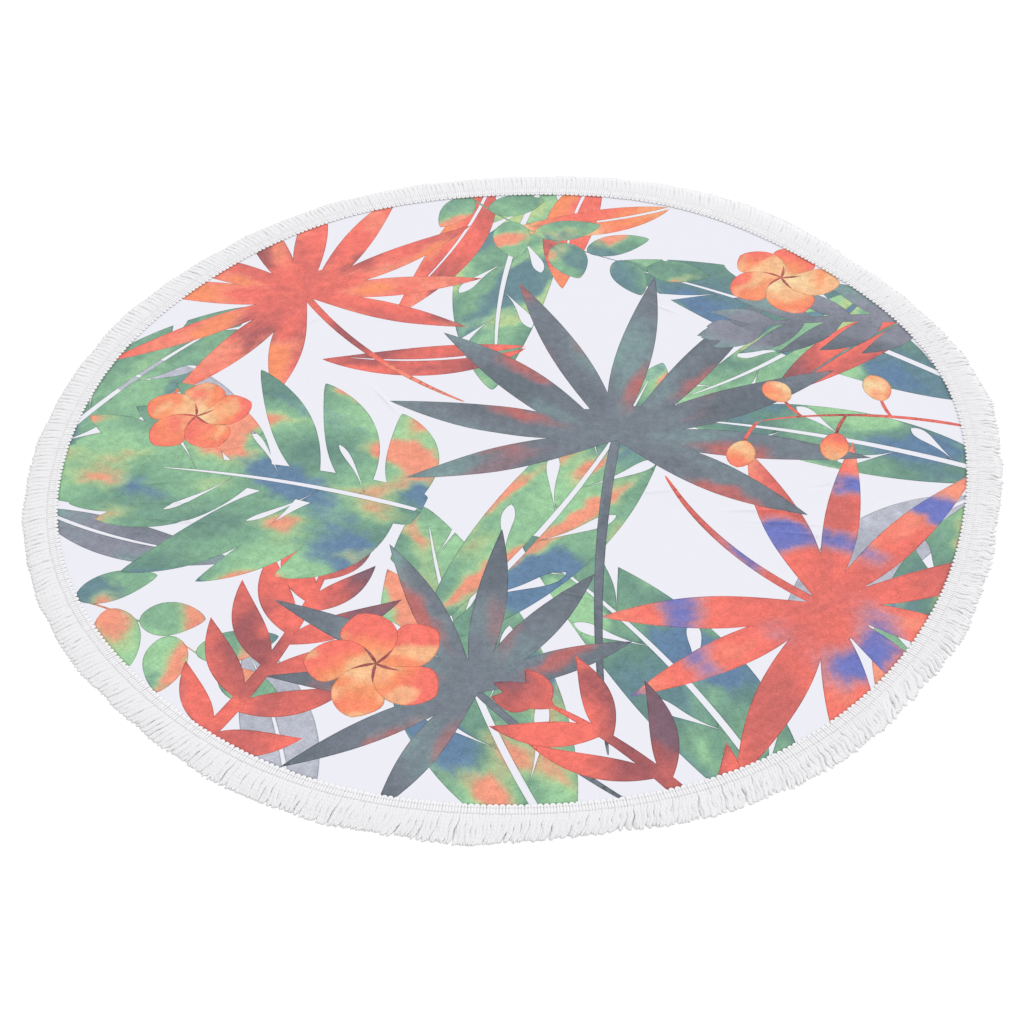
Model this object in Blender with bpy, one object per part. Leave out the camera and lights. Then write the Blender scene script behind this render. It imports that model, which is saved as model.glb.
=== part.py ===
"""Round beach towel, spread out flat: a printed panel, the heading braid sewn over its edge, and a fringe.

Units are metres and +Z is up. The origin is the middle of the panel's underside, on the surface it lies on.
The towel isn't a perfect circle: it lies a few millimetres in and out, and its three pieces share that outline.
"""

import math
import random

import bmesh
import bpy
from mathutils import Vector

# Driving dimensions.
TOWEL_RADIUS = 0.750  # centre to the mean tips of the fringe
PRINT_RADIUS = 0.690  # centre to the inner edge of the heading, as far as the print shows
PANEL_RADIUS = 0.705  # centre to the panel's hemmed edge, which the heading covers
PANEL_THICKNESS = 0.0018
HEADING_OUTER_RADIUS = 0.7075
HEADING_THICKNESS = 0.0016
HEADING_BEVEL = 0.0035  # how far in from each edge the heading reaches its full thickness
GAP = 0.0003  # between pieces that touch

# How the towel lies: waves added to every radius, so many to the round.
OUTLINE = (
    # waves, cosine part, sine part
    (3, -0.0021, 0.0022),
    (4, -0.0005, 0.0035),
    (5, 0.0010, 0.0013),
    (6, 0.0029, 0.0021),
    (7, 0.0005, 0.0012),
    (8, -0.0015, 0.0008),
)

# Low swells left in the panel by its packing folds. Each fades out before the heading.
SWELLS = (
    # x, y, bearing in degrees, half length, half width, height
    (-0.46, -0.10, 8.0, 0.17, 0.045, 0.0009),
    (-0.50, 0.03, -6.0, 0.12, 0.040, 0.0008),
    (-0.40, 0.24, 20.0, 0.16, 0.050, 0.0007),
    (-0.12, 0.40, 78.0, 0.18, 0.050, 0.0008),
    (-0.03, 0.02, 62.0, 0.22, 0.050, 0.0009),
    (0.20, -0.10, -14.0, 0.20, 0.050, 0.0010),
    (0.46, 0.12, 72.0, 0.18, 0.045, 0.0009),
    (0.40, -0.20, -24.0, 0.18, 0.050, 0.0011),
    (-0.14, -0.40, 52.0, 0.18, 0.050, 0.0008),
    (0.12, -0.48, -12.0, 0.16, 0.045, 0.0009),
)
SWELL_END_RADIUS = 0.675
SWELL_FADE = 0.050

PANEL_RINGS = 22
PANEL_SEGMENTS = 84
HEADING_SEGMENTS = 120

# The fringe: locks of cord that leave a narrow strip beside the panel's edge.
LOCKS = 288
STRIP_WIDTH = 0.0030
STRIP_HEIGHT = 0.0018
ROOT_SHARE = 0.76  # of the pitch between locks, that the root of one takes up
LENGTH_SPREAD = 0.0030
TURN_SPREAD = math.radians(0.7)
LOCK_STAGES = (
    # share of the length, share of the pitch there, height of the top above the floor
    (0.42, 0.88, 0.0042),
    (1.00, 0.76, 0.0024),
)
TOP_SHARE = 0.62  # of a lock's width, that is left at its top
LEANS = (
    # waves to the round, amplitude in degrees, phase
    (5, 4.5, 0.4),
    (9, 3.5, 2.1),
    (13, 3.0, 4.4),
)
LENGTH_WAVES = (
    # waves to the round, amplitude, phase
    (7, 0.0022, 1.0),
    (16, 0.0020, 3.3),
    (29, 0.0014, 0.2),
)

WHITE_COTTON = (0.90, 0.90, 0.91)
PRINTED_GROUND = (0.86, 0.87, 0.92)


def outline(angle):
    """How far the towel's rim lies outside a true circle at this angle."""
    return sum(c * math.cos(n * angle) + s * math.sin(n * angle) for n, c, s in OUTLINE)


def follow_outline(mesh, radius):
    """Shifts each point outwards by the outline, in proportion to how near it is to this radius."""
    for vert in mesh.verts:
        flat = Vector((vert.co.x, vert.co.y, 0))
        if flat.length > GAP:
            angle = math.atan2(vert.co.y, vert.co.x)
            vert.co += flat.normalized() * outline(angle) * min(1, flat.length / radius)


def swell(x, y):
    """Height that the swells add to the panel's face at a place."""
    inside = max(0.0, min(1.0, (SWELL_END_RADIUS - math.hypot(x, y)) / SWELL_FADE))
    added = 0.0
    for middle_x, middle_y, bearing, half_length, half_width, height in SWELLS:
        turn = math.radians(bearing)
        along = (x - middle_x) * math.cos(turn) + (y - middle_y) * math.sin(turn)
        across = (y - middle_y) * math.cos(turn) - (x - middle_x) * math.sin(turn)
        distance = math.hypot(along / half_length, across / half_width)
        if distance < 1:
            added += height * (0.5 + 0.5 * math.cos(math.pi * distance))
    return added * inside


def cloth_material(name, colour, roughness):
    material = bpy.data.materials.new(name)
    material.use_nodes = True
    shader = material.node_tree.nodes["Principled BSDF"]
    shader.inputs["Base Color"].default_value = (*colour, 1)
    shader.inputs["Roughness"].default_value = roughness
    shader.inputs["Metallic"].default_value = 0.0
    return material


def add_piece(name, mesh, material, towel):
    """Makes a named object from a bmesh, its faces turned outwards, in the towel's collection."""
    bmesh.ops.recalc_face_normals(mesh, faces=mesh.faces)
    data = bpy.data.meshes.new(name)
    mesh.to_mesh(data)
    mesh.free()
    data.materials.append(material)
    piece = bpy.data.objects.new(name, data)
    towel.objects.link(piece)
    return piece


def spin_profile(mesh, points, segments, closed):
    """Turns a line of (radius, height) points once round the Z axis, in this many segments."""
    verts = [mesh.verts.new((radius, 0, height)) for radius, height in points]
    following = verts[1:] + verts[:1] if closed else verts[1:]
    edges = [mesh.edges.new(pair) for pair in zip(verts, following)]
    bmesh.ops.spin(
        mesh, geom=verts + edges, cent=(0, 0, 0), axis=(0, 0, 1), angle=math.tau, steps=segments
    )
    bmesh.ops.remove_doubles(mesh, verts=mesh.verts, dist=GAP / 10)


def make_panel(towel):
    """The printed panel: a thin disc with a flat underside and low swells in its face."""
    mesh = bmesh.new()
    ring_radii = [PANEL_RADIUS * ring / PANEL_RINGS for ring in range(PANEL_RINGS + 1)]
    spin_profile(mesh, [(radius, PANEL_THICKNESS) for radius in ring_radii], PANEL_SEGMENTS, False)
    rim = [edge for edge in mesh.edges if edge.is_boundary]
    dropped = bmesh.ops.extrude_edge_only(mesh, edges=rim)["geom"]
    low_verts = [item for item in dropped if isinstance(item, bmesh.types.BMVert)]
    low_edges = [item for item in dropped if isinstance(item, bmesh.types.BMEdge)]
    for vert in low_verts:
        vert.co.z = 0
    bmesh.ops.contextual_create(mesh, geom=[edge for edge in low_edges if edge.is_boundary])
    follow_outline(mesh, PANEL_RADIUS)
    for vert in mesh.verts:
        if vert.co.z > 0:
            vert.co.z += swell(vert.co.x, vert.co.y)
    material = cloth_material("printed_cloth", PRINTED_GROUND, 0.85)
    return add_piece("printed_panel", mesh, material, towel)


def make_heading(towel, material):
    """The heading braid: a low crowned band that lies on the panel's margin and covers the strip."""
    base = PANEL_THICKNESS + GAP
    shoulder = base + HEADING_THICKNESS * 0.55
    crown = base + HEADING_THICKNESS
    profile = (
        (PRINT_RADIUS, base),
        (HEADING_OUTER_RADIUS, base),
        (HEADING_OUTER_RADIUS, shoulder),
        (HEADING_OUTER_RADIUS - HEADING_BEVEL, crown),
        (PRINT_RADIUS + HEADING_BEVEL, crown),
        (PRINT_RADIUS, shoulder),
    )
    mesh = bmesh.new()
    spin_profile(mesh, profile, HEADING_SEGMENTS, True)
    follow_outline(mesh, PRINT_RADIUS)
    return add_piece("heading_braid", mesh, material, towel)


def lock_edge_angle(index):
    """Angle of the strip's cross-section with this number: two for each lock, one at each of its edges."""
    pitch = math.tau / LOCKS
    side = 1 if index % 2 else -1
    return (index // 2) * pitch + side * pitch * ROOT_SHARE / 2


def make_strip(mesh):
    """The strip that the locks are rooted in, and its outward faces, one for each lock, in order."""
    inner = PANEL_RADIUS + GAP
    outer = inner + STRIP_WIDTH
    profile = ((inner, 0), (outer, 0), (outer, STRIP_HEIGHT), (inner, STRIP_HEIGHT))
    spin_profile(mesh, profile, LOCKS * 2, True)
    step = math.tau / (LOCKS * 2)
    for vert in mesh.verts:
        radius = math.hypot(vert.co.x, vert.co.y)
        index = round(math.atan2(vert.co.y, vert.co.x) / step)
        angle = lock_edge_angle(index)
        vert.co.x = radius * math.cos(angle)
        vert.co.y = radius * math.sin(angle)
    faces = {}
    for face in mesh.faces:
        middle = face.calc_center_median()
        if math.hypot(middle.x, middle.y) < outer - STRIP_WIDTH / 10:
            continue
        lock = math.atan2(middle.y, middle.x) / (2 * step)
        if abs(lock - round(lock)) < 0.1:
            faces[round(lock) % LOCKS] = face
    return [faces[lock] for lock in range(LOCKS)]


def lock_lean(angle):
    """How far, as an angle, the fringe at this place is combed to one side."""
    return sum(math.radians(degrees) * math.sin(n * angle + phase) for n, degrees, phase in LEANS)


def lock_length(angle):
    """Length of the fringe at this place, from the strip to its tip."""
    waves = sum(size * math.sin(n * angle + phase) for n, size, phase in LENGTH_WAVES)
    return TOWEL_RADIUS - PANEL_RADIUS - GAP - STRIP_WIDTH + waves


def shape_stage(face, lock, lean, length, stage):
    """Puts an extruded end of a lock in place: four corners, flat on the floor and narrower on top."""
    share, pitch_share, top = stage
    angle = math.tau * lock / LOCKS
    outward = Vector((math.cos(angle), math.sin(angle), 0))
    sideways = Vector((-math.sin(angle), math.cos(angle), 0))
    heading = outward * math.cos(lean * share) + sideways * math.sin(lean * share)
    root = outward * (PANEL_RADIUS + GAP + STRIP_WIDTH)
    middle = root + heading * length * share
    width = math.tau / LOCKS * middle.length * pitch_share
    for vert in face.verts:
        side = 1 if (vert.co - outward * vert.co.dot(outward)).dot(sideways) > 0 else -1
        on_top = vert.co.z > STRIP_HEIGHT / 2
        half = width / 2 * (TOP_SHARE if on_top else 1)
        vert.co = middle + sideways * side * half + Vector((0, 0, top if on_top else 0))


def make_fringe(towel, material):
    """The fringe: locks pulled out of the strip's outward faces in two stages, apart but for their roots."""
    mesh = bmesh.new()
    chance = random.Random(7)
    for lock, face in enumerate(make_strip(mesh)):
        angle = math.tau * lock / LOCKS
        lean = lock_lean(angle) + chance.uniform(-TURN_SPREAD, TURN_SPREAD)
        length = lock_length(angle) + chance.uniform(-LENGTH_SPREAD, LENGTH_SPREAD)
        for stage in LOCK_STAGES:
            face = bmesh.ops.extrude_discrete_faces(mesh, faces=[face])["faces"][0]
            shape_stage(face, lock, lean, length, stage)
    follow_outline(mesh, PANEL_RADIUS)
    return add_piece("fringe", mesh, material, towel)


def main():
    for old in list(bpy.data.objects):
        bpy.data.objects.remove(old)
    towel = bpy.data.collections.new("round_beach_towel")
    bpy.context.scene.collection.children.link(towel)
    cotton = cloth_material("white_cotton", WHITE_COTTON, 0.9)
    make_panel(towel)
    make_heading(towel, cotton)
    make_fringe(towel, cotton)


main()
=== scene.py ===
"""Looks of the round beach towel: its printed cloth, the heading braid and the fringe.

Metres, +Z up, the towel's middle at the origin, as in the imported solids. Lengths are in metres and angles in
radians, unless a name says otherwise.
"""

import math
from collections import namedtuple

import bpy
import numpy as np
from mathutils import Euler, Matrix, Vector
from mathutils.geometry import delaunay_2d_cdt


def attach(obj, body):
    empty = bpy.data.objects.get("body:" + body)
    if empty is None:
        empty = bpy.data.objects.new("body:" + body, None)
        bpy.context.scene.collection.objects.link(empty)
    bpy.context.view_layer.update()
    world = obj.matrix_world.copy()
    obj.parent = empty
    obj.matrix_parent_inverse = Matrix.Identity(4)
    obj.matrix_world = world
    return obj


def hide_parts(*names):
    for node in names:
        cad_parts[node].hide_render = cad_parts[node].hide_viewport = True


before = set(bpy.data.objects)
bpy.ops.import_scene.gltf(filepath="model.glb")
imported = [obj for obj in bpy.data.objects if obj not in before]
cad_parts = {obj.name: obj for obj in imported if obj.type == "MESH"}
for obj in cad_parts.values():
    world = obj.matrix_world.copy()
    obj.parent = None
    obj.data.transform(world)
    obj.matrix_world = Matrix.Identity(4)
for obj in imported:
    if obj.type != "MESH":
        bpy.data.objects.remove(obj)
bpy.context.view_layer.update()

# ---- sizes of the real towel
PRINT_RADIUS = 0.690  # middle of the towel to the inner edge of the heading
PANEL_RADIUS = 0.705
PANEL_THICKNESS = 0.0018
TIP_RADIUS = 0.750
SWELL_END_RADIUS = 0.675
SWELL_FADE = 0.050

OUTLINE = np.array([
    # waves to the round, cosine part, sine part
    (3, -0.0021, 0.0022),
    (4, -0.0005, 0.0035),
    (5, 0.0010, 0.0013),
    (6, 0.0029, 0.0021),
    (7, 0.0005, 0.0012),
    (8, -0.0015, 0.0008),
])

TRIM_PLACES = np.array([
    # place round the rim in degrees, and how far the trimming is sewn on outside its mean place there, in mm
    (12, -1.0), (30, -2.0), (45, -3.5), (85, -3.5), (110, -2.5), (140, -1.0), (156, 2.5), (185, 4.0),
    (215, 3.8), (250, 2.8), (280, 3.2), (300, 4.0), (316, 6.2), (334, 8.0), (352, 7.0),
])

TABLE_UNITS = (1000, 1000, 1, 1000, 1000, 1000)  # the next two tables are in mm, their bearings in degrees
SWELLS = np.array([
    # x, y, bearing, half length, half width, height
    (-460, -100, 8, 170, 45, 0.9), (-500, 30, -6, 120, 40, 0.8), (-400, 240, 20, 160, 50, 0.7),
    (-120, 400, 78, 180, 50, 0.8), (-30, 20, 62, 220, 50, 0.9), (200, -100, -14, 200, 50, 1),
    (460, 120, 72, 180, 45, 0.9), (400, -200, -24, 180, 50, 1.1), (-140, -400, 52, 180, 50, 0.8),
    (120, -480, -12, 160, 45, 0.9),
]) / TABLE_UNITS

CREASES = np.array([
    # x, y, bearing, half length, half width, height, below 0 for a trough
    (-560, 10, -7, 75, 3, 1.5), (-545, -55, 3, 80, 3.4, 1.9), (-520, -100, -4, 90, 3.2, 1.7),
    (-505, -140, -9, 85, 3.6, 2), (-560, -215, -14, 60, 3.4, -1.4), (-430, 20, 12, 50, 3, 1.4),
    (-300, -260, 24, 60, 3.4, 1.4), (-120, -180, -8, 55, 3, -1.3), (30, -60, 68, 70, 3.4, 1.7),
    (60, -110, 44, 55, 3, 1.4), (90, -330, -20, 65, 3.2, 1.6), (130, -365, -28, 50, 3, -1.2),
    (210, -120, 6, 70, 3.6, 1.4), (360, -170, -4, 75, 3.6, 2), (400, -200, -8, 85, 3, 1.6),
    (425, -225, -11, 80, 3.6, 2), (480, -120, 9, 60, 3.2, -1.4), (420, 160, 30, 60, 3.2, 1.6),
    (500, 210, 74, 55, 3, 1.6), (260, 330, -35, 60, 3.2, 1.4), (-60, 360, 80, 65, 3.2, 1.4),
    (-330, 330, 40, 60, 3.2, 1.4), (-200, 120, -58, 60, 3, 1.3),
]) / TABLE_UNITS


def outline(angle):
    """How far the towel's rim lies outside a true circle: waves round it, each a cosine and a sine part."""
    turns = np.multiply.outer(angle, OUTLINE[:, 0])
    return np.cos(turns) @ OUTLINE[:, 1] + np.sin(turns) @ OUTLINE[:, 2]


def trim_shift(angle):
    """How far outside its mean place the trimming's inner edge is sewn on, from place to place."""
    places, shifts = TRIM_PLACES.T
    return np.interp(np.degrees(angle), places, shifts, period=360.0) / 1000


def smooth(low, high, values):
    """Rises softly from 0 at low to 1 at high: 3 s**2 - 2 s**3, s being the share of the way."""
    share = np.clip((values - low) / (high - low), 0.0, 1.0)
    return share * share * (3.0 - 2.0 * share)


def reach_of(points):
    """How far from the origin each point of the plane lies."""
    return np.hypot(points[:, 0], points[:, 1])


def turned(points, bearing):
    """Points of the plane, turned anticlockwise round the origin."""
    c, s = math.cos(bearing), math.sin(bearing)
    return points @ np.array([[c, s], [-s, c]])


def wash(points, size, seed, waves=9):
    """A soft uneven field from -1 to 1: the sum of sine waves of about this length, from all sides."""
    chance = np.random.default_rng(seed)
    bearings = chance.uniform(0.0, math.tau, waves)
    lengths = size * chance.uniform(0.7, 1.6, waves)
    phases = chance.uniform(0.0, math.tau, waves)
    rows = np.stack([np.cos(bearings), np.sin(bearings)]) / lengths * math.tau
    return np.clip(np.sin(points @ rows + phases).sum(1) / math.sqrt(waves) * 0.9, -1.0, 1.0)


def low_ridges(points, table):
    """Height of a table's ridges: each is half a cosine wave, from its middle line out to its half length and
    half width."""
    height = np.zeros(len(points))
    for x, y, bearing, half_length, half_width, top in table:
        reach = reach_of(turned(points - (x, y), -math.radians(bearing)) / (half_length, half_width))
        height += np.where(reach < 1.0, top * (0.5 + 0.5 * np.cos(math.pi * reach)), 0.0)
    return height


def cloth_height(points):
    """Height of the panel's face: its thickness, the swells of its packing folds, which fade out towards the
    heading, and the small creases."""
    inside = smooth(SWELL_END_RADIUS, SWELL_END_RADIUS - SWELL_FADE, reach_of(points))
    return PANEL_THICKNESS + (low_ridges(points, SWELLS) + low_ridges(points, CREASES)) * inside


# ---- meshes
def new_piece(name, points, faces, materials):
    """A smooth-shaded object whose mesh has these points and faces, given as arrays of one width each."""
    data = bpy.data.meshes.new(name)
    sizes = np.concatenate([np.full(len(rows), rows.shape[1]) for rows in faces])
    corners = np.concatenate([rows.ravel() for rows in faces])
    data.vertices.add(len(points))
    data.vertices.foreach_set("co", np.asarray(points, np.float32).ravel())
    data.loops.add(len(corners))
    data.loops.foreach_set("vertex_index", corners.astype(np.int32))
    data.polygons.add(len(sizes))
    data.polygons.foreach_set("loop_start", np.concatenate([[0], np.cumsum(sizes)[:-1]]).astype(np.int32))
    data.polygons.foreach_set("use_smooth", np.ones(len(sizes), bool))
    data.update(calc_edges=True)
    data.validate()
    for material in materials:
        data.materials.append(material)
    piece = bpy.data.objects.new(name, data)
    bpy.context.scene.collection.objects.link(piece)
    return piece


def corner_map(data, name, values):
    """Writes a UV map, given as a pair for each corner of the mesh."""
    layer = data.uv_layers.new(name=name)
    layer.data.foreach_set("uv", np.asarray(values, np.float32).ravel())


def tubes(paths, across, upright, sides):
    """Many closed tubes at once. Each follows one row of paths, and its section is a level ellipse: cos(a)
    times the half width across, and sin(a) times the half height upright. Each end is closed round the path's
    own end. Returns points, faces, and for each corner how far round and how far along it lies."""
    count, stations = paths.shape[:2]
    step = np.gradient(paths, axis=1)
    step /= np.linalg.norm(step, axis=2, keepdims=True)
    level = np.cross([0.0, 0.0, 1.0], step)
    level /= np.linalg.norm(level, axis=2, keepdims=True)
    above = np.cross(step, level)
    angle = math.tau * np.arange(sides) / sides
    ring = (
        paths[:, :, None]
        + level[:, :, None] * (np.cos(angle)[:, None] * across[:, :, None, None])
        + above[:, :, None] * (np.sin(angle)[:, None] * upright[:, :, None, None])
    )
    points = np.concatenate([ring.reshape(count, -1, 3), paths[:, :1], paths[:, -1:]], 1)
    first = np.arange(count)[:, None, None] * points.shape[1]
    station, k = (part.reshape(-1, 1) for part in np.indices((stations - 1, sides)))
    rows = np.hstack([station, station, station + 1, station + 1])
    turns = np.hstack([k, k + 1, k + 1, k])
    quads = rows * sides + turns % sides
    k = np.arange(sides)[:, None]
    cap_rows = np.repeat([[0], [stations - 1]], sides, axis=0) + np.zeros(3, int)
    cap_turns = np.vstack([np.hstack([k + 1, k, k + 0.5]), np.hstack([k, k + 1, k + 0.5])])
    caps = cap_rows * sides + cap_turns.astype(int) % sides
    caps[:, 2] = np.repeat([stations * sides, stations * sides + 1], sides)
    faces = (first + quads).reshape(-1, 4), (first + caps).reshape(-1, 3)
    lengths = np.linalg.norm(np.diff(paths, axis=1), axis=2).cumsum(1)
    lengths = np.concatenate([np.zeros((count, 1)), lengths], 1)
    spots = [
        np.stack([np.broadcast_to(turn / sides, (count, *turn.shape)), lengths[:, row]], -1).reshape(-1, 2)
        for turn, row in ((turns, rows), (cap_turns, cap_rows))
    ]
    return points.reshape(-1, 3), faces, np.concatenate(spots)


def new_yarns(name, shape, sides, material):
    """A piece of many tubes, from their paths, half widths and half heights."""
    points, faces, spots = tubes(*shape, sides)
    piece = new_piece(name, points, faces, [material])
    corner_map(piece.data, "along_yarn", spots)
    return piece


def from_polar(radius, angle, height):
    """Points at this radius, angle and height."""
    height = np.broadcast_to(height, radius.shape)
    return np.stack([radius * np.cos(angle), radius * np.sin(angle), height], -1)


# ---- the print's leaves
INKS = {
    # the colour as the eye reads it: red, green, blue
    "ground": (0.935, 0.933, 0.968), "night slate": (0.40, 0.435, 0.475), "slate": (0.46, 0.49, 0.535),
    "mist": (0.51, 0.63, 0.63), "lilac slate": (0.56, 0.56, 0.62), "rose slate": (0.66, 0.47, 0.49),
    "coral": (0.97, 0.47, 0.42), "salmon": (0.97, 0.60, 0.50), "brick": (0.82, 0.42, 0.40),
    "dusty red": (0.74, 0.43, 0.42), "wine": (0.62, 0.35, 0.37), "plum": (0.48, 0.38, 0.44),
    "orange": (0.98, 0.58, 0.41), "peach": (0.97, 0.74, 0.55), "straw": (0.97, 0.84, 0.64),
    "spring": (0.63, 0.82, 0.63), "leaf": (0.51, 0.69, 0.57), "pine": (0.42, 0.57, 0.52),
    "sea": (0.40, 0.53, 0.58), "blue": (0.39, 0.51, 0.66), "indigo": (0.42, 0.47, 0.77),
    "lavender": (0.73, 0.58, 0.68), "lime": (0.74, 0.83, 0.59), "grey": (0.67, 0.69, 0.74),
    "pale grey": (0.74, 0.75, 0.80),
}

Scheme = namedtuple("Scheme", "inks deep_share bright_share rise along across")
SCHEMES = {name: Scheme(*row) for name, *row in (
    # inks: the shade, body and light inks that flow into each other, then those of the deep patches, of the
    # bright islands' halos and of the islands. Then the share of deep patches and of bright islands; how much
    # the wash rises from the base to the tips; and how long the islands are along and across the leaf
    ("slate", "night slate, slate, mist, night slate, rose slate, dusty red", 0.06, 0.16, -0.2, 0.24, 0.09),
    ("plain slate", "slate, lilac slate, mist, night slate, mist, mist", 0.10, 0.06, 0.2, 0.20, 0.10),
    ("coral", "brick, coral, salmon, wine, salmon, orange", 0.14, 0.18, 0.9, 0.24, 0.10),
    ("coral and indigo", "brick, coral, salmon, brick, lavender, indigo", 0.05, 0.23, 0.9, 0.15, 0.30),
    ("red", "wine, brick, coral, plum, coral, coral", 0.10, 0.16, -0.3, 0.20, 0.10),
    ("green", "pine, leaf, spring, blue, lime, salmon", 0.13, 0.13, 0.1, 0.20, 0.08),
    ("plain green", "pine, leaf, spring, sea, spring, lime", 0.15, 0.20, 0.2, 0.20, 0.09),
    ("deep green", "sea, pine, leaf, blue, leaf, spring", 0.18, 0.14, 0.3, 0.24, 0.10),
    ("orange", "coral, orange, peach, coral, peach, straw", 0.08, 0.26, -0.6, 0.16, 0.10),
    ("petal", "coral, orange, straw, coral, peach, peach", 0.06, 0.10, -1.7, 0.10, 0.05),
    ("pale", "grey, pale grey, pale grey, grey, pale grey, pale grey", 0.15, 0.05, 0.0, 0.20, 0.10),
    ("banded", "pine, leaf, spring, sea, lime, salmon", 0.10, 0.14, 0.1, 0.09, 0.20),
)}
OUTLINE_STEP = 0.006  # between the points of a leaf's outline


def spine(place, bearing, length, bend, shares):
    """Points and bearings at these shares of an arc that leaves its place at a bearing and turns by bend."""
    bend = bend if abs(bend) > 1e-3 else 1e-3
    turn = bend * np.asarray(shares, float)
    arc = np.stack([np.sin(turn), 1.0 - np.cos(turn)], -1) * (length / bend)
    return turned(arc, bearing) + place, bearing + turn


def blade(place, bearing, length, width, bend=0.0, belly=0.42, fullness=0.9, uneven=0.0):
    """Outline of a blade round an arc. Half its width at share t of the length is width / 2 times
    sin(pi * t ** p) ** fullness, where p puts the widest place at the belly, or an uneven amount after it on
    the left edge and before it on the right."""
    count = max(9, int(length / OUTLINE_STEP))
    t = np.linspace(0.0, 1.0, count)
    t = 0.6 * (0.5 - 0.5 * np.cos(math.pi * t)) + 0.4 * t
    middle, heading = spine(place, bearing, length, bend, t)
    normal = np.stack([-np.sin(heading), np.cos(heading)], 1)
    edges = []
    for side in (1.0, -1.0):
        power = math.log(0.5) / math.log(belly + side * uneven)
        half = width / 2 * np.clip(np.sin(math.pi * t**power), 0.0, 1.0) ** fullness
        edges.append(middle + side * normal * half[:, None])
    return np.concatenate([edges[0][:-1], edges[1][:0:-1]])


def fan(place, bearing, size, blades, spread, width, web, seed, stem, stem_bend):
    """A fan palm's leaf: blades that part from a web, shorter towards its sides, and a stem behind."""
    chance = np.random.default_rng(seed)
    shapes = []
    for share in np.linspace(-0.5, 0.5, blades):
        turn = spread * share + chance.uniform(-0.04, 0.04)
        reach = size * (1.0 - 0.95 * share * share) * chance.uniform(0.88, 1.04)
        broad = size * width * chance.uniform(0.85, 1.15)
        bend = 0.35 * share + chance.uniform(-0.12, 0.12)
        shapes.append(blade(place, bearing + turn, reach, broad, bend, 0.46, 0.92, math.copysign(0.07, bend)))
    t = np.linspace(-0.5, 0.5, 2 * blades + 1)
    rim = size * web * (1.0 - 0.8 * t * t) * np.where(np.arange(2 * blades + 1) % 2, 1.06, 0.92)
    arc = np.stack([np.cos(bearing + spread * t), np.sin(bearing + spread * t)], 1) * rim[:, None]
    shapes.append(np.concatenate([[np.array(place)], arc + place]))
    shapes.append(blade(place, bearing + math.pi, stem, size * 0.035, stem_bend, 0.1, 0.35))
    return shapes


def frond(place, bearing, length, pairs, leaflet, width, bend, seed, opening, belly=0.42, fullness=0.95,
          rib=0.024, start=0.12):
    """A feather leaf: pairs of leaflets on a curved rib, longest a little below its middle, that close from
    the first opening angle to the second towards its tip."""
    chance = np.random.default_rng(seed)
    shapes = [blade(place, bearing, length, rib, bend, 0.12, 0.5)]
    for share in np.linspace(start, 0.97, pairs):
        for side in (-1, 1):
            spot, heading = spine(place, bearing, length, bend, share + 0.02 * side)
            open_by = opening[0] + (opening[1] - opening[0]) * share + chance.uniform(-0.07, 0.07)
            swell = math.sin(math.pi * min(1.0, share**0.75 * 0.94 + 0.06)) ** 0.7
            reach = leaflet * (0.25 + 0.75 * swell) * chance.uniform(0.9, 1.08)
            broad = width * chance.uniform(0.85, 1.15)
            curl = -side * chance.uniform(0.15, 0.45)
            heading += side * open_by
            shapes.append(blade(spot, heading, reach, broad, curl, belly, fullness, side * 0.06))
    spot, heading = spine(place, bearing, length, bend, 0.93)
    shapes.append(blade(spot, heading, leaflet * 0.5, width, bend * 0.3, belly, fullness))
    return shapes


def slits(place, bearing, length, bend, count, reach, width, opening, start, end):
    """Thin wedges beside a rib, to one side and the other in turn."""
    shapes = []
    for index, share in enumerate(np.linspace(start, end, count)):
        side = 1 if index % 2 else -1
        spot, heading = spine(place, bearing, length, bend, share)
        shapes.append(blade(spot, heading + side * opening, reach, width, -side * 0.3, 0.8, 0.8))
    return shapes


def sprig(place, bearing, length, bend, leaves, leaf_length, leaf_width, seed):
    """A thin stem with egg-shaped leaves, to one side and the other in turn."""
    chance = np.random.default_rng(seed)
    shapes = [blade(place, bearing, length, 0.004, bend, 0.15, 0.4)]
    for index, share in enumerate(np.linspace(0.15, 1.0, leaves)):
        side = 1 if index % 2 else -1
        spot, heading = spine(place, bearing, length, bend, share)
        turn = side * chance.uniform(0.6, 1.1) if index < leaves - 1 else 0.1
        reach = leaf_length * chance.uniform(0.85, 1.1)
        broad = leaf_width * chance.uniform(0.9, 1.1)
        shapes.append(blade(spot, heading + turn, reach, broad, chance.uniform(-0.3, 0.3), 0.42, 0.7))
    return shapes


def berries(place, bearing, length, bend, count, size, seed):
    """A thin stem, and stalks that each end in an egg-shaped berry. Returns the stems and the berries."""
    chance = np.random.default_rng(seed)
    stems, fruit = [blade(place, bearing, length, 0.007, bend, 0.15, 0.4)], []
    for index, share in enumerate(np.linspace(0.35, 1.0, count)):
        side = 1 if index % 2 else -1
        spot, heading = spine(place, bearing, length, bend, share)
        turn = side * chance.uniform(0.7, 1.2)
        stalk = size * chance.uniform(0.5, 0.9)
        stems.append(blade(spot, heading + turn, stalk * 1.3, 0.006, side * 0.4, 0.4, 0.3))
        end, _ = spine(spot, heading + turn, stalk, side * 0.4, 1.0)
        tilt = turn + side * 0.3
        reach = size * chance.uniform(0.9, 1.1)
        fruit.append(blade(end, heading + tilt, reach, size * 0.72, 0.1, 0.52, 0.52))
    return stems, fruit


def petals(place, bearing, size, seed):
    """Five petals like a pinwheel's sails, each broadest beyond its middle on its leading edge."""
    chance = np.random.default_rng(seed)
    shapes = []
    for k in range(5):
        heading = bearing + math.tau * k / 5 + chance.uniform(-0.06, 0.06)
        reach = size * chance.uniform(0.92, 1.05)
        shapes.append(blade(place, heading, reach, size * 0.78, chance.uniform(0.3, 0.5), 0.60, 0.66, 0.08))
    return shapes


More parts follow.
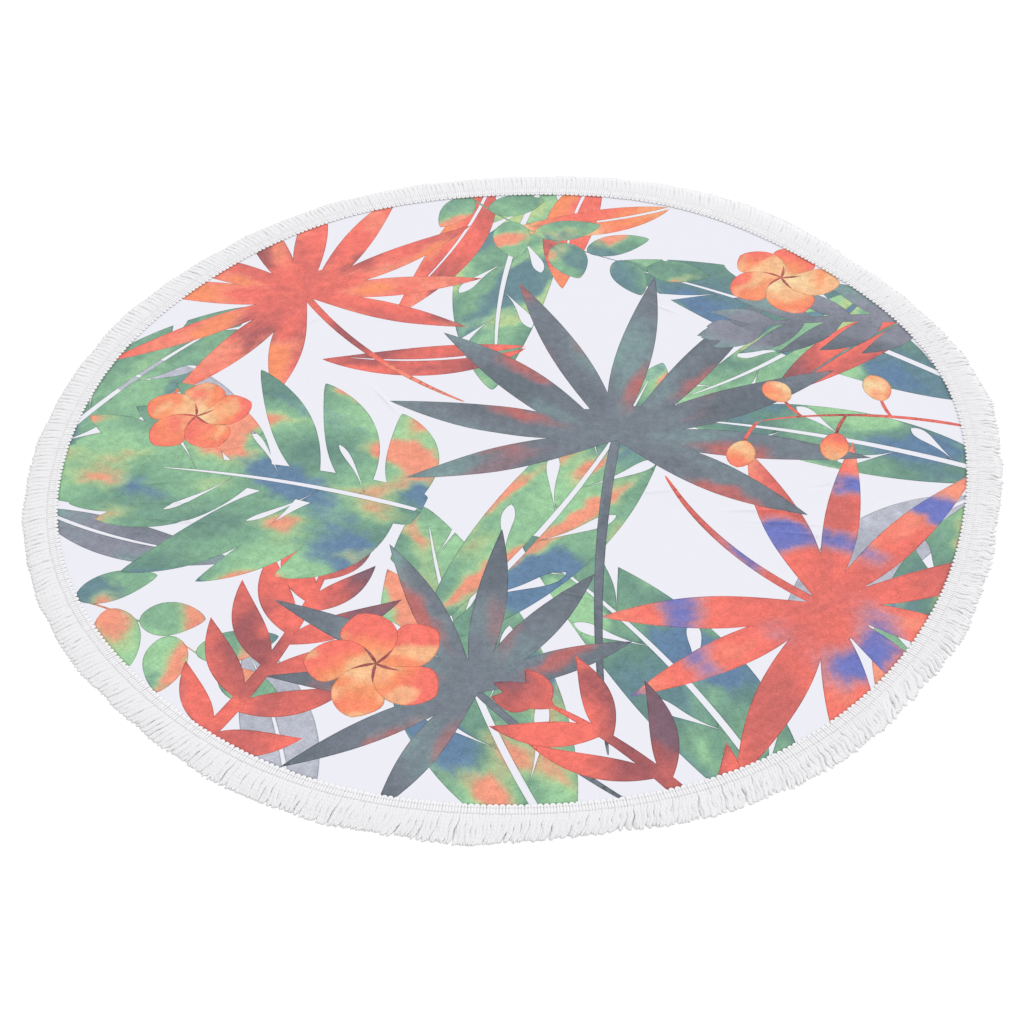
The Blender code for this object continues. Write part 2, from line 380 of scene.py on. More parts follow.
def design():
    """The print's motifs, from the lowest to the one on top of all. Each is a set of shapes in one colour
    scheme, and may have cuts that show what lies below it."""
    motifs = []

    def add(scheme, place, bearing, size, seed, shapes, cuts=(), radial=False):
        motifs.append(dict(scheme=scheme, place=np.array(place), bearing=bearing, size=size, seed=seed,
                           shapes=shapes, cuts=list(cuts), radial=radial))

    def single(scheme, place, degrees, length, width, bend, seed):
        bearing = math.radians(degrees)
        leaf = blade(place, bearing, length, width, bend, 0.45, 0.85)
        rib = blade(place, bearing, length * 0.86, 0.006, bend, 0.15, 0.5)
        add(scheme, place, bearing, length, seed, [leaf], [rib])

    def banana(scheme, place, degrees, length, width, bend, seed, cuts):
        bearing = math.radians(degrees)
        openings = slits(place, bearing, length, bend, cuts, width * 0.72, 0.020, 0.72, 0.15, 0.82)
        openings.append(blade(place, bearing, length * 0.93, 0.010, bend, 0.2, 0.5))
        leaf = blade(place, bearing, length, width, bend, 0.45, 0.72)
        add(scheme, place, bearing, length, seed, [leaf], openings)

    def palm(scheme, place, degrees, size, blades, spread, width, web, seed, stem, bend):
        bearing = math.radians(degrees)
        shapes = fan(place, bearing, size, blades, math.radians(spread), width, web, seed, stem, bend)
        add(scheme, place, bearing, size, seed, shapes, radial=True)

    def feather(scheme, place, degrees, length, pairs, leaflet, width, bend, seed, opening):
        bearing = math.radians(degrees)
        shapes = frond(place, bearing, length, pairs, leaflet, width, bend, seed, opening)
        add(scheme, place, bearing, length, seed, shapes)

    def twig(place, degrees, length, bend, leaves, leaf_length, leaf_width, seed):
        bearing = math.radians(degrees)
        shapes = sprig(place, bearing, length, bend, leaves, leaf_length, leaf_width, seed)
        add("banded", place, bearing, length, seed, shapes)

    def flower(place, bearing, size, seed):
        for number, petal in enumerate(petals(place, bearing, size, seed)):
            add("petal", place, bearing, size, seed + 20 * number, [petal])
        middles = bearing + 0.25 + math.tau * np.arange(5) / 5
        throat = [blade(place, middle, size * 0.36, size * 0.05, 0.4, 0.35, 0.8) for middle in middles]
        add("red", place, bearing, size, seed + 1, throat)

    def berry_twig(place, degrees, length, bend, count, size, seed):
        bearing = math.radians(degrees)
        stems, fruit = berries(place, bearing, length, bend, count, size, seed)
        add("red", place, bearing, length, seed, stems)
        for number, berry in enumerate(fruit):
            add("orange", berry[0], bearing, size * 1.4, seed + 10 + 10 * number, [berry])

    single("pale", (0.68, -0.16), 205, 0.42, 0.12, 0.5, 11)
    single("pale", (-0.68, 0.24), -20, 0.34, 0.11, -0.5, 12)
    single("pale", (-0.30, -0.72), 95, 0.36, 0.10, 0.3, 13)
    banana("plain green", (0.08, 0.72), -112, 0.60, 0.17, 0.4, 14, 6)
    banana("green", (0.04, -0.76), 116, 0.66, 0.22, -0.35, 21, 7)
    banana("deep green", (0.76, 0.06), 136, 0.70, 0.20, 0.3, 22, 7)
    banana("plain green", (-0.76, -0.02), 62, 0.52, 0.16, -0.4, 23, 5)
    banana("green", (0.52, -0.66), 82, 0.56, 0.18, -0.5, 24, 6)
    banana("deep green", (0.34, -0.76), 108, 0.66, 0.17, 0.45, 28, 6)
    banana("green", (-0.13, -0.40), 47, 0.70, 0.19, 0.35, 15, 8)
    banana("deep green", (0.74, -0.12), 152, 0.52, 0.14, 0.3, 17, 5)
    single("coral", (-0.02, 0.72), -104, 0.42, 0.085, -0.35, 29)
    single("plain slate", (-0.72, -0.10), -34, 0.34, 0.075, 0.4, 30)
    single("coral", (0.18, 0.74), -118, 0.36, 0.09, 0.5, 25)
    single("red", (0.03, 0.24), 196, 0.34, 0.075, -0.5, 32)
    banana("plain green", (0.62, 0.36), -128, 0.46, 0.13, -0.5, 16, 5)
    single("orange", (0.30, 0.62), -160, 0.30, 0.075, -0.4, 26)
    single("red", (0.72, 0.30), 205, 0.38, 0.09, 0.35, 27)
    twig((-0.10, 0.74), -58, 0.46, 0.6, 8, 0.115, 0.062, 51)
    twig((-0.74, -0.26), -12, 0.38, -0.6, 7, 0.11, 0.060, 52)
    palm("coral", (-0.34, 0.40), 118, 0.38, 11, 275, 0.14, 0.22, 41, 0.40, 0.5)
    feather("red", (-0.46, -0.60), 50, 0.46, 7, 0.18, 0.044, 0.5, 31, (1.1, 0.5))
    palm("coral and indigo", (0.42, -0.36), -38, 0.42, 10, 270, 0.14, 0.20, 71, 0.34, -0.6)
    place, bearing = (-0.14, -0.14), math.radians(156)
    lobes = frond(place, bearing, 0.50, 7, 0.29, 0.080, 0.25, 61, (1.35, 0.45), 0.46, 0.78, 0.08, 0.06)
    lobes.append(blade((-0.287, -0.167), math.radians(38), 0.060, 0.032, 0.0, 0.55, 0.6))  # joins two lobes
    gaps = slits(place, bearing, 0.46, 0.25, 5, 0.13, 0.010, 1.0, 0.2, 0.8)
    gaps.append(blade(place, bearing, 0.42, 0.008, 0.25, 0.2, 0.5))
    add("green", place, bearing, 0.52, 61, lobes, gaps)
    palm("slate", (0.16, 0.00), 78, 0.47, 9, 215, 0.13, 0.20, 81, 0.62, 0.25)
    palm("slate", (-0.06, -0.50), 128, 0.34, 8, 200, 0.14, 0.20, 83, 0.30, 0.25)
    feather("plain slate", (0.74, 0.26), 168, 0.38, 6, 0.16, 0.040, 0.4, 101, (1.0, 0.4))
    flower((-0.20, -0.44), 0.4, 0.100, 191)
    flower((0.47, 0.40), 0.9, 0.100, 193)
    flower((-0.50, 0.10), 1.3, 0.090, 195)
    feather("red", (0.26, -0.78), 118, 0.36, 4, 0.19, 0.040, 0.5, 111, (0.95, 0.55))
    berry_twig((0.70, 0.00), 160, 0.32, 0.5, 4, 0.062, 121)
    return motifs


def near_box(points, shape, margin=0.0):
    """Indices of the points in the box round a shape."""
    low, high = shape.min(0) - margin, shape.max(0) + margin
    return np.nonzero(((points >= low) & (points <= high)).all(1))[0]


def held_by(shape, points):
    """Indices of the points in a closed outline: those with an odd number of its edges to their right."""
    near = near_box(points, shape)
    x, y = points[near, :1], points[near, 1:]
    x0, y0 = shape.T
    x1, y1 = np.roll(x0, -1), np.roll(y0, -1)
    rise = np.where(y1 == y0, 1.0, y1 - y0)
    meets = x0 + (y - y0) * (x1 - x0) / rise
    return near[((((y0 > y) != (y1 > y)) & (x < meets)).sum(1) % 2) == 1]


def from_rim(points, shape):
    """Distance of each point from a closed outline: the least of those from its edges."""
    step = np.roll(shape, -1, 0) - shape
    share = ((points[:, None] - shape) * step).sum(2) / np.maximum((step * step).sum(1), 1e-12)
    nearest = shape + np.clip(share, 0.0, 1.0)[..., None] * step
    return np.sqrt(((points[:, None] - nearest) ** 2).sum(2)).min(1)


def blend(under, over, share):
    """Colours between two sets, by a share for each point."""
    return under + (over - under) * share[:, None]


DYE_SPREAD = 0.08  # how far the dye's take-up varies from place to place, on the scale of the wash
DEPTH_UNIT = 0.010  # the mesh says how far inside a rim a corner lies as a share of this


def wash_fields(motif, points):
    """Each point's place along and across its leaf, and three fields of a motif's wash. The level is the sum
    of a broad field, blots that run along the leaf and a rise towards the tips. The patch field places the
    deep patches and the island field the bright islands. Round a fan's middle all but the mottles and the rise
    fade out."""
    scheme, seed = SCHEMES[motif["scheme"]], motif["seed"]
    own = turned(points - motif["place"], -motif["bearing"])
    reach = reach_of(own)
    calm = np.ones(len(points))
    if motif["radial"]:
        own = np.stack([reach, np.arctan2(own[:, 1], own[:, 0]) * motif["size"] * 0.45], 1)
        calm = smooth(0.02, 0.40, reach / motif["size"])
    bent = own + 0.005 * np.stack([wash(points, 0.05, seed + 1), wash(points, 0.04, seed + 2)], 1)
    broad = wash(bent, 0.26, seed + 3) * calm
    blots = wash(bent * (0.45, 1.0), 0.11, seed + 4, 12) * calm
    mottles = wash(points, 0.030, seed + 5, 16)
    level = 0.60 * broad + 0.45 * blots + 0.08 * mottles + scheme.rise * (reach / motif["size"] - 0.5)
    patch = wash(bent * (0.45, 1.0), 0.15, seed + 7, 12) * calm - 0.4 * broad + 0.06 * mottles
    island = wash(bent / (scheme.along, scheme.across), 1.0, seed + 8, 12) * calm + 0.35 * broad
    return own, level, patch, island


def washed(scheme, level, patch, island):
    """Colour of a wash, as the eye reads it: the level leads from the shade to the light ink, and over it lie
    the deep patches and, inside their halos, the bright islands."""
    shade, body, light, deep, halo, bright = (np.array(INKS[ink]) for ink in scheme.inks.split(", "))
    colour = blend(shade, body, smooth(-0.9, 0.1, level))
    colour = blend(colour, light, smooth(-0.1, 1.0, level))
    low = 0.75 - 2.2 * scheme.deep_share
    colour = blend(colour, deep, 0.9 * smooth(low - 0.10, low + 0.55, patch))
    low = 0.80 - 1.7 * scheme.bright_share
    island = island - 0.3 * smooth(low, low + 0.5, patch)
    colour = blend(colour, halo, 0.6 * smooth(low - 0.40, low + 0.05, island))
    return blend(colour, bright, 0.95 * smooth(low - 0.02, low + 0.42, island))


def depth_inside(motif, points):
    """How far inside the rim of a motif's shapes, and outside its cuts, each point lies."""
    depth = np.zeros(len(points))
    for shape in motif["shapes"]:
        held = held_by(shape, points)
        if len(held):
            depth[held] = np.maximum(depth[held], from_rim(points[held], shape))
    for cut in motif["cuts"]:
        near = near_box(points, cut, DEPTH_UNIT)
        if len(near):
            depth[near] = np.minimum(depth[near], from_rim(points[near], cut))
    return depth


def inked(motif, points):
    """A motif's colours at some points, where the cloth takes up more dye and where it takes up less; how far
    inside the motif each point lies, as a share of the depth unit and 1 at most; and its place along and
    across the leaf."""
    own, level, patch, island = wash_fields(motif, points)
    mottles = 1.0 + 0.03 * wash(points, 0.016, motif["seed"] + 6, 16)
    scheme = SCHEMES[motif["scheme"]]
    more, less = (
        np.clip(washed(scheme, level + shift, patch - shift, island + shift) * mottles[:, None], 0.0, 1.0)
        for shift in (-DYE_SPREAD, DYE_SPREAD)
    )
    return more, less, np.minimum(depth_inside(motif, points) / DEPTH_UNIT, 1.0), own


def linear(colour):
    """Colour as light, from colour as the eye reads it."""
    return np.where(colour <= 0.04045, colour / 12.92, ((np.maximum(colour, 0) + 0.055) / 1.055) ** 2.4)


# ---- materials
COTTON_WHITE = (0.880, 0.874, 0.890, 1.0)
INK_LEVEL = 0.93  # how much of the light that falls on it the print gives back, against its colour as seen
GATHERED_WIDTH = 0.002  # of the darker line inside the rim of each printed shape
TIP_LIGHT_LENGTH = 0.012  # over which painted light makes a strand grow lighter towards its tip


class Nodes:
    """A short way to add nodes to a tree and link them."""

    def __init__(self, tree):
        self.tree = tree

    def add(self, kind, **settings):
        node = self.tree.nodes.new(kind)
        for name, value in settings.items():
            setattr(node, name, value)
        return node

    def put(self, node, **values):
        """Sets or links inputs, named with underscores for spaces; a number picks one by its place."""
        for name, value in values.items():
            key = int(name[1:]) if name[0] == "n" and name[1:].isdigit() else name.replace("_", " ")
            socket = node.inputs[key]
            if isinstance(value, bpy.types.NodeSocket):
                self.tree.links.new(value, socket)
            else:
                socket.default_value = value
        return node

    def math(self, operation, first, second=0.0):
        return self.put(self.add("ShaderNodeMath", operation=operation), n0=first, n1=second).outputs[0]

    def mixed(self, first, second, share):
        part = self.math("MULTIPLY", first, share)
        return self.math("ADD", part, self.math("MULTIPLY", second, 1.0 - share))

    def stretched(self, place, factors):
        node = self.add("ShaderNodeVectorMath", operation="MULTIPLY")
        return self.put(node, n0=place, n1=factors).outputs[0]

    def noise(self, place, scale, detail, roughness=0.5):
        node = self.add("ShaderNodeTexNoise")
        self.put(node, Vector=place, Scale=scale, Detail=detail, Roughness=roughness)
        return node.outputs["Fac"]

    def range(self, value, low, high, to_low=0.0, to_high=1.0):
        node = self.add("ShaderNodeMapRange")
        return self.put(node, n0=value, n1=low, n2=high, n3=to_low, n4=to_high).outputs[0]


def group(name, inputs, outputs):
    """A shader node group with these named inputs, given with their socket types and values, and outputs."""
    tree = bpy.data.node_groups.new(name, "ShaderNodeTree")
    for label, (kind, value) in inputs.items():
        socket = tree.interface.new_socket(label, in_out="INPUT", socket_type=kind)
        if value is not None:
            socket.default_value = value
    for label, kind in outputs.items():
        tree.interface.new_socket(label, in_out="OUTPUT", socket_type=kind)
    nodes = Nodes(tree)
    return tree, nodes, nodes.add("NodeGroupInput").outputs, nodes.add("NodeGroupOutput").inputs


FLOAT, VECTOR = "NodeSocketFloat", "NodeSocketVector"


def make_pile_group():
    """Brushed pile: fine fibres that lie in short streaks along and across the cloth, over its threads, and
    soft patches where they lean together, both as a height and as a tone."""
    tree, nodes, given, result = group(
        "brushed_pile",
        {"Place": (VECTOR, None), "Fibre Scale": (FLOAT, 1400.0), "Patch Scale": (FLOAT, 160.0)},
        {"Height": FLOAT, "Tone": FLOAT},
    )
    streaks = []
    for stretch in ((0.30, 1.0, 1.0), (1.0, 0.30, 1.0)):
        drawn_out = nodes.stretched(given["Place"], stretch)
        streaks.append(nodes.noise(drawn_out, given["Fibre Scale"], 2.0, 0.6))
    patches = nodes.noise(given["Place"], given["Patch Scale"], 3.0, 0.6)
    height = nodes.mixed(nodes.mixed(*streaks, 0.55), patches, 0.8)
    tree.links.new(height, result["Height"])
    tree.links.new(height, result["Tone"])
    return tree


def make_yarn_group():
    """Twisted yarn, read from how far round and along it a place lies: two plies that wind round each other,
    with fine fibres between. Gives a height, and a tone with painted shade: lower in the grooves between the
    plies."""
    tree, nodes, given, result = group(
        "twisted_yarn",
        {"Round and Along": (VECTOR, None), "Twist Length": (FLOAT, 0.006), "Fibre Scale": (FLOAT, 2200.0)},
        {"Height": FLOAT, "Tone": FLOAT},
    )
    parts = nodes.put(nodes.add("ShaderNodeSeparateXYZ"), Vector=given["Round and Along"]).outputs
    turns = nodes.math("DIVIDE", parts["Y"], given["Twist Length"])
    turns = nodes.math("ADD", nodes.math("MULTIPLY", parts["X"], 2.0), turns)
    ply = nodes.math("ABSOLUTE", nodes.math("SINE", nodes.math("MULTIPLY", turns, math.pi)))
    around = nodes.math("MULTIPLY", parts["X"], 0.010)
    place = nodes.put(nodes.add("ShaderNodeCombineXYZ"), X=around, Y=parts["Y"])
    fibres = nodes.noise(place.outputs[0], given["Fibre Scale"], 2.0, 0.6)
    height = nodes.math("ADD", ply, nodes.math("MULTIPLY", fibres, 0.5))
    tree.links.new(height, result["Height"])
    # painted shade: the tone falls to 0.95 in the grooves between the plies
    tree.links.new(nodes.range(ply, 0.0, 0.5, 0.95, 1.0), result["Tone"])
    return tree


def new_material(name, roughness, sheen, sheen_roughness):
    material = bpy.data.materials.new(name)
    material.use_nodes = True
    nodes = Nodes(material.node_tree)
    shader = nodes.tree.nodes["Principled BSDF"]
    nodes.put(shader, Roughness=roughness, Metallic=0.0, Specular_IOR_Level=0.2)
    nodes.put(shader, Sheen_Weight=sheen, Sheen_Roughness=sheen_roughness)
    return material, nodes, shader


def place_group(nodes, tree, **values):
    """Puts a node group in a material and returns its outputs."""
    node = nodes.add("ShaderNodeGroup")
    node.node_tree = tree
    return nodes.put(node, **values).outputs


def dress(nodes, shader, colour, tone, height, distance, strength):
    """Gives a material its colour, made lighter or darker by a tone, and its relief."""
    tint = nodes.add("ShaderNodeMix", data_type="RGBA", blend_type="MULTIPLY")
    nodes.put(tint, n0=1.0, n6=colour, n7=tone)
    relief = nodes.put(nodes.add("ShaderNodeBump"), Height=height, Distance=distance, Strength=strength)
    nodes.put(shader, Base_Color=tint.outputs[2], Normal=relief.outputs["Normal"])


def make_print_material(pile):
    """Printed suede-like towelling. Two colours come with the mesh, for where the cloth takes up more dye and
    where it takes up less, and a ragged field that runs along each leaf leads from one to the other. Where
    there is ink, the pile shows through it as a fine grain, as soft watery patches and as specks of lint.
    Just inside each rim the dye gathers in a darker line of uneven strength."""
    material, nodes, shader = new_material("printed_towelling", 0.86, 0.18, 0.5)
    ink = nodes.add("ShaderNodeAttribute", attribute_name="ink").outputs
    faint = nodes.add("ShaderNodeAttribute", attribute_name="faint_ink").outputs
    on_leaf = nodes.add("ShaderNodeUVMap", uv_map="along_leaf").outputs["UV"]
    place = nodes.add("ShaderNodeTexCoord").outputs["Object"]
    ragged = nodes.range(nodes.noise(nodes.stretched(on_leaf, (0.40, 1.0, 1.0)), 70.0, 3.0), 0.32, 0.68)
    dyed = nodes.add("ShaderNodeMix", data_type="RGBA")
    nodes.put(dyed, n0=ragged, n6=ink["Color"], n7=faint["Color"])
    nap = place_group(nodes, pile, Place=place, Fibre_Scale=640.0, Patch_Scale=110.0)
    grain = nodes.range(nap["Tone"], 0.35, 0.65, -0.20, 0.20)
    watery = nodes.range(nodes.noise(place, 38.0, 5.0, 0.62), 0.3, 0.7, -0.10, 0.10)
    lint = nodes.range(nodes.noise(place, 420.0, 0.0), 0.74, 0.82, 0.0, 0.12)
    varied = nodes.math("ADD", nodes.math("ADD", grain, watery), lint)
    amount = nodes.range(ink["Alpha"], 0.0, 1.0, 0.04, 1.0)
    tone = nodes.math("ADD", nodes.math("MULTIPLY", varied, amount), 1.0)
    rim = nodes.range(faint["Alpha"], 0.0, GATHERED_WIDTH / DEPTH_UNIT, 1.0, 0.0)
    strength = nodes.range(nodes.noise(place, 45.0, 2.0), 0.35, 0.65, 0.25, 0.60)
    tone = nodes.math("SUBTRACT", tone, nodes.math("MULTIPLY", rim, strength))
    dress(nodes, shader, dyed.outputs[2], tone, nap["Height"], 0.00035, 0.5)
    return material


def make_back_material(pile):
    """The plain back and hem of the panel."""
    material, nodes, shader = new_material("plain_towelling", 0.9, 0.2, 0.5)
    place = nodes.add("ShaderNodeTexCoord").outputs["Object"]
    nap = place_group(nodes, pile, Place=place, Fibre_Scale=700.0, Patch_Scale=120.0)
    tone = nodes.range(nap["Tone"], 0.3, 0.7, 0.95, 1.03)
    dress(nodes, shader, COTTON_WHITE, tone, nap["Height"], 0.0008, 0.7)
    return material


def make_yarn_material(name, yarn, pile, twist_length, depth, body_tone, tip_light_from):
    """White cotton yarn, which grows lighter over its last stretch: painted light towards the tip."""
    material, nodes, shader = new_material(name, 0.92, 0.25, 0.6)
    coordinates = nodes.add("ShaderNodeTexCoord").outputs
    ply = place_group(nodes, yarn, Round_and_Along=coordinates["UV"], Twist_Length=twist_length)
    nap = place_group(nodes, pile, Place=coordinates["Object"])
    patches = nodes.range(nap["Tone"], 0.3, 0.7, 0.965, 1.015)
    along = nodes.put(nodes.add("ShaderNodeSeparateXYZ"), Vector=coordinates["UV"]).outputs["Y"]
    # painted light: the tone rises from the body's tone to full white over the strand's last stretch
    tip_light = nodes.range(along, tip_light_from, tip_light_from + TIP_LIGHT_LENGTH, body_tone, 1.0)
    tone = nodes.math("MULTIPLY", nodes.math("MULTIPLY", ply["Tone"], patches), tip_light)
    dress(nodes, shader, COTTON_WHITE, tone, ply["Height"], depth, 0.8)
    return material


# ---- camera, floor and light
CAMERA_PLACE = (0.0, -2.10205, 1.87456)
CAMERA_TURNS = (46.1575, 1.7840, -1.5649)  # degrees, round X, Y and Z
SUN_LAMPS = (
    # name, strength, how wide it looks in degrees, the way its light goes
    ("high_lamp", 0.80, 26.0, (-1.5, -1.7, -3.0)),
    ("low_lamp", 0.30, 18.0, (-1.0, -1.3, -0.75)),
)
FLOOR_HALF = 15.0
FLOOR_HEIGHT = -0.0001  # just under the towel's underside, so that the two never lie in one plane


def make_camera():
    """A camera in front of the towel and about 42 degrees above it."""
    camera = bpy.data.objects.new("camera", bpy.data.cameras.new("camera"))
    camera.data.sensor_width = 36.0
    camera.data.lens = 63.88
    turns = Euler([math.radians(turn) for turn in CAMERA_TURNS])
    camera.matrix_world = Matrix.LocRotScale(Vector(CAMERA_PLACE), turns, None)
    bpy.context.scene.collection.objects.link(camera)
    bpy.context.scene.camera = camera


def make_studio():
    """A plain white floor that glows a little, an even white surround, and two wide soft lamps far off: one
    high to the right behind, and a weaker one low on the same side, which picks out folds and pile."""
    material, nodes, shader = new_material("pale_floor", 0.9, 0.0, 0.5)
    nodes.put(shader, Base_Color=(0.95, 0.95, 0.95, 1.0))
    nodes.put(shader, Emission_Color=(1.0, 1.0, 1.0, 1.0), Emission_Strength=0.10)
    quarters = (-1, -1), (1, -1), (1, 1), (-1, 1)
    corners = [(x * FLOOR_HALF, y * FLOOR_HALF, FLOOR_HEIGHT) for x, y in quarters]
    floor = new_piece("floor", corners, [np.array([[0, 1, 2, 3]])], [material])
    world = bpy.data.worlds.new("surround")
    world.use_nodes = True
    background = world.node_tree.nodes["Background"]
    Nodes(world.node_tree).put(background, Color=(1.0, 1.0, 1.0, 1.0), Strength=0.83)
    bpy.context.scene.world = world
    for name, strength, width, way in SUN_LAMPS:
        lamp = bpy.data.objects.new(name, bpy.data.lights.new(name, "SUN"))
        lamp.data.energy = strength
        lamp.data.angle = math.radians(width)
        lamp.rotation_euler = Vector(way).to_track_quat("-Z", "Y").to_euler()
        bpy.context.scene.collection.objects.link(lamp)
    bpy.context.scene.view_settings.view_transform = "Standard"


# ---- the printed cloth
GRID = 0.006  # between the points that fill the cloth's face
GRID_HALF = 0.72  # half the side of the square that the grid is cut from
CREASE_STEP = 0.0025
CLEARANCE = 0.0019  # from the motifs' outlines to the nearest points that fill the face
MOTIFS_END, GRID_END = 0.003, 0.004  # how far inside the panel's rim outlines and grid end
RIM_POINTS = 720
TRIM_EDGE = 0.6890  # mean place of the line where the trimming begins
TRIM_RINGS = (-0.0028, -0.0012, 0.0, 0.0012, 0.0040)  # places of rings of points beside that line
RINGS_MIDDLE = 0.0005
SHADE_PLACE = 0.0002  # the shade under the trimming: how far past that line it is deepest, and how wide it is
SHADE_WIDTH = 0.0014
SLIVER_DEPTH = 0.14  # for a triangle with all its corners on a rim, as in a thin stem


def inside_rim(points):
    """How far inside the panel's rim each point lies."""
    return PANEL_RADIUS + outline(np.arctan2(points[:, 1], points[:, 0])) - reach_of(points)


def past_trim_edge(points):
    """How far outside the line where the trimming begins each point lies."""
    angle = np.arctan2(points[:, 1], points[:, 0])
    return reach_of(points) - outline(angle) - trim_shift(angle) - TRIM_EDGE


def links_round(loop):
    """Pairs that join each number of a closed loop to the next."""
    return np.stack([loop, np.roll(loop, -1)], 1)


def panel_points(motifs):
    """Points and edges to mesh the panel's face with: its rim, the motifs' outlines, rows along each crease,
    rings beside the trimming's edge, and a grid of triangles that keeps clear of them all."""
    angle = np.linspace(0.0, math.tau, RIM_POINTS, endpoint=False)
    around = np.stack([np.cos(angle), np.sin(angle)], 1)
    number = np.arange(RIM_POINTS)
    points = [(PANEL_RADIUS + outline(angle))[:, None] * around]
    edges = [links_round(number)]
    total = RIM_POINTS
    shapes = [shape for motif in motifs for shape in motif["shapes"] + motif["cuts"]]
    for shape in shapes:
        kept = inside_rim(shape) > MOTIFS_END
        number = np.cumsum(kept) - 1 + total
        edges.append(links_round(number)[kept & np.roll(kept, -1)])
        points.append(shape[kept])
        total += int(kept.sum())
    rings = [(TRIM_EDGE + ring + outline(angle) + trim_shift(angle))[:, None] * around for ring in TRIM_RINGS]
    rows = []
    for x, y, bearing, half_length, half_width, _ in CREASES:
        u, v = np.meshgrid(np.linspace(-1, 1, int(half_length / CREASE_STEP)), (-0.9, -0.45, 0.0, 0.45, 0.9))
        own = np.stack([u.ravel() * half_length, v.ravel() * half_width], 1)
        rows.append(turned(own, math.radians(bearing)) + (x, y))
    x, y = np.meshgrid(*(np.arange(-GRID_HALF, GRID_HALF, step) for step in (GRID, GRID * math.sqrt(0.75))))
    x = x + (np.arange(len(x)) % 2)[:, None] * GRID / 2
    grid = np.stack([x.ravel(), y.ravel()], 1)
    grid = grid[inside_rim(grid) > GRID_END]
    clear = low_ridges(grid, [(*row[:5], 1.0) for row in CREASES]) == 0.0
    clear &= np.abs(past_trim_edge(grid) - RINGS_MIDDLE) > GRID
    filler = np.concatenate([grid[clear], *rows, *rings])
    clear = np.ones(len(filler), bool)
    for shape in shapes:
        near = near_box(filler, shape, CLEARANCE)
        if len(near):
            clear[near[from_rim(filler[near], shape) < CLEARANCE]] = False
    points.append(filler[clear])
    return np.concatenate(points), np.concatenate(edges)


def panel_triangles(motifs):
    """The face's points and its triangles, which keep to every motif's outline."""
    flat, edges = panel_points(motifs)
    found = delaunay_2d_cdt([Vector(p) for p in flat], [tuple(e) for e in edges.tolist()], [], 0, 1e-7, False)
    flat = np.array([tuple(p) for p in found[0]])
    triangles = np.array(found[2])
    return flat, triangles[inside_rim(flat[triangles].mean(1)) > 0]


def topmost(motifs, places):
    """Number of the motif that shows at each place, or -1 for the bare ground."""
    owner = np.full(len(places), -1)
    for number, motif in enumerate(motifs):
        held = np.zeros(len(places), bool)
        for shapes, kept in ((motif["shapes"], True), (motif["cuts"], False)):
            for shape in shapes:
                held[held_by(shape, places)] = kept
        owner[held] = number
    return owner


def print_corners(motifs, flat, triangles):
    """What each corner of the face holds: two colours, for more and for less dye, whose fourth parts are the
    amount of ink and the depth inside the rim; and its place along and across the leaf. Both colours darken
    in the heading's narrow shade."""
    owner = topmost(motifs, flat[triangles].mean(1))
    inks = np.ones((2, len(triangles), 3, 4))
    inks[..., :3] = linear(np.array(INKS["ground"])) * INK_LEVEL
    inks[0, ..., 3] = 0.0
    on_leaf = flat[triangles]
    for number, motif in enumerate(motifs):
        mine = owner == number
        if mine.any():
            used, back = np.unique(triangles[mine], return_inverse=True)
            *colours, depth, own = inked(motif, flat[used])
            for ink, colour in zip(inks, colours):
                ink[mine, :, :3] = linear(colour)[back].reshape(-1, 3, 3) * INK_LEVEL
            depth = depth[back].reshape(-1, 3)
            depth[depth.max(1) < 0.01] = SLIVER_DEPTH
            inks[0, mine, :, 3] = 1.0
            inks[1, mine, :, 3] = depth
            on_leaf[mine] = own[back].reshape(-1, 3, 2)
    shaded = np.exp(-(((past_trim_edge(flat) - SHADE_PLACE) / SHADE_WIDTH) ** 2))[triangles][..., None]
    inks[..., :3] *= 1.0 - shaded * (0.03 + 0.35 * inks[0, ..., 3:])
    return inks, on_leaf


def rim_loop(triangles, count):
    """Numbers of the points round the rim of some triangles, in order."""
    links = np.concatenate([triangles[:, [0, 1]], triangles[:, [1, 2]], triangles[:, [2, 0]]])
    rim = links[~np.isin(links[:, 1] * count + links[:, 0], links[:, 0] * count + links[:, 1])]
    following = dict(rim.tolist())
    loop = [int(rim[0, 0])]
    while following[loop[-1]] != loop[0]:
        loop.append(following[loop[-1]])
    return np.array(loop)


def make_cloth(motifs, print_material, back_material):
    """The printed panel: its face at the height of its swells and creases, a hem and a flat underside."""
    flat, triangles = panel_triangles(motifs)
    inks, on_leaf = print_corners(motifs, flat, triangles)
    loop = rim_loop(triangles, len(flat))
    top = np.column_stack([flat, cloth_height(flat)])
    low = np.column_stack([flat[loop], np.zeros(len(loop))])
    number = len(top) + np.arange(len(loop))
    hem = np.hstack([links_round(loop)[:, ::-1], links_round(number)])
    faces = [triangles, hem, number[::-1][None]]
    cloth = new_piece("printed_cloth", np.concatenate([top, low]), faces, [print_material, back_material])
    slots = np.concatenate([np.zeros(len(triangles), int), np.ones(len(hem) + 1, int)])
    cloth.data.polygons.foreach_set("material_index", slots.astype(np.int32))
    rest = len(hem) * 4 + len(loop)
    for name, ink in zip(("ink", "faint_ink"), inks):
        layer = cloth.data.color_attributes.new(name, "FLOAT_COLOR", "CORNER")
        colours = np.concatenate([ink.reshape(-1, 4), np.ones((rest, 4))])
        layer.data.foreach_set("color", colours.astype(np.float32).ravel())
    corner_map(cloth.data, "along_leaf", np.concatenate([on_leaf.reshape(-1, 2), np.zeros((rest, 2))]))
    return cloth


